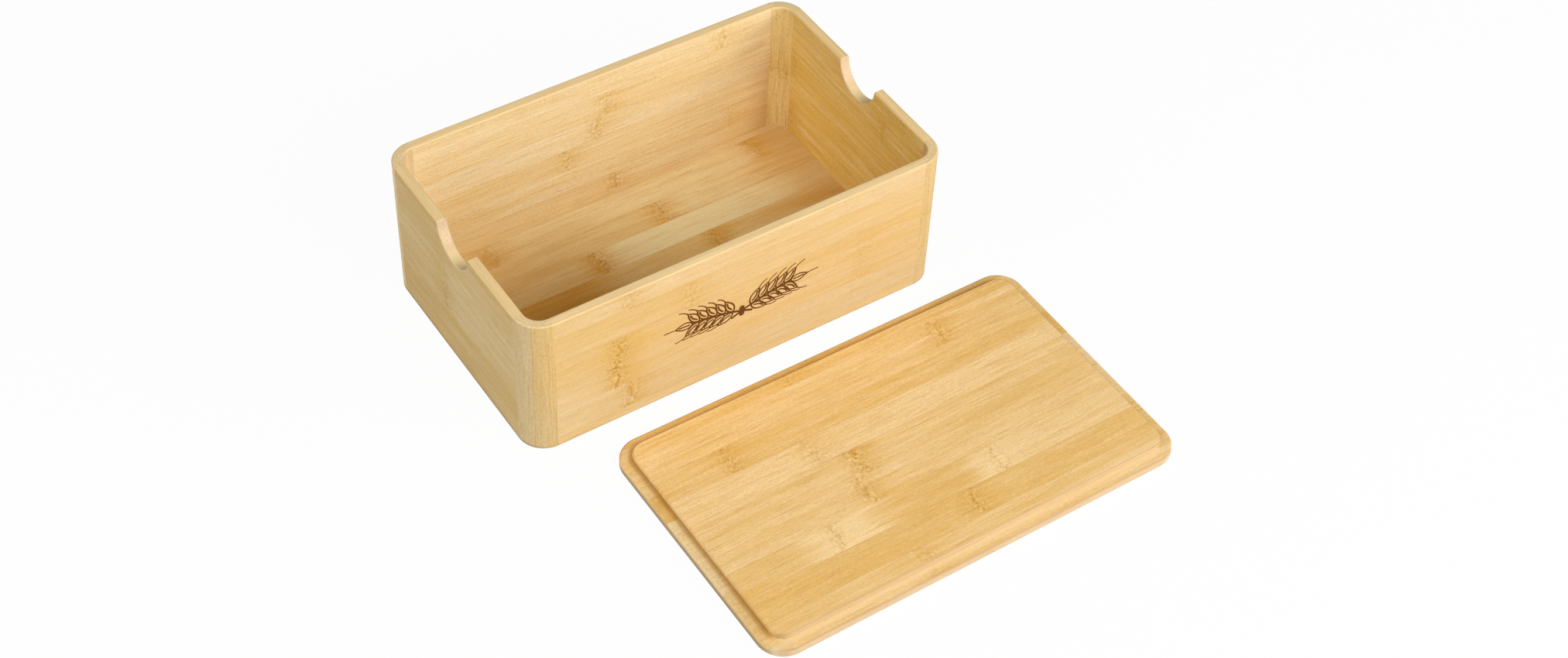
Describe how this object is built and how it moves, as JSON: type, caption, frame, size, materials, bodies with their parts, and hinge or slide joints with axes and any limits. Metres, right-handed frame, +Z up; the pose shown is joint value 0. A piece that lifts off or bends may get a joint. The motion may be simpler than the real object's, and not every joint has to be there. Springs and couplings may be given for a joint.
{
  "type": "bread box",
  "caption": "Long open bamboo bread box with rounded corner posts and half-round hand notches, and a lift-off stepped lid that is also a bread board.",
  "frame": {"origin": "middle of the underside of the box, on the plane that the box and the lid stand on", "axes": "+X along the box, its front panel faces -Y, where the lid lies upside down, +Z up"},
  "size_m": [0.384, 0.44, 0.121],
  "materials": {
    "front_panel": "satin food-safe oil on laminated bamboo, strips about 24 mm wide",
    "back_panel": "satin food-safe oil on laminated bamboo, strips about 24 mm wide",
    "left_panel": "satin food-safe oil on laminated bamboo, strips about 24 mm wide",
    "right_panel": "satin food-safe oil on laminated bamboo, strips about 24 mm wide",
    "corner_post_front_left": "satin food-safe oil on laminated bamboo, strips about 24 mm wide",
    "corner_post_front_right": "satin food-safe oil on laminated bamboo, strips about 24 mm wide",
    "corner_post_back_left": "satin food-safe oil on laminated bamboo, strips about 24 mm wide",
    "corner_post_back_right": "satin food-safe oil on laminated bamboo, strips about 24 mm wide",
    "floor_panel": "satin food-safe oil on laminated bamboo, strips about 24 mm wide",
    "lid_lip_board": "satin food-safe oil on laminated bamboo, strips about 24 mm wide",
    "lid_plug_panel": "satin food-safe oil on laminated bamboo, strips about 24 mm wide"
  },
  "bodies": {
    "box": {"front_panel": "front_panel", "back_panel": "back_panel", "left_panel": "left_panel", "right_panel": "right_panel", "corner_post_front_left": "corner_post_front_left", "corner_post_front_right": "corner_post_front_right", "corner_post_back_left": "corner_post_back_left", "corner_post_back_right": "corner_post_back_right", "floor_panel": "floor_panel"},
    "lid": {"lid_lip_board": "lid_lip_board", "lid_plug_panel": "lid_plug_panel"}
  },
  "joints": [
    {"name": "lid_lift", "type": "slide", "parent": "box", "child": "lid", "axis": [0, 0, 1], "range_m": [0, 0.16]}
  ]
}
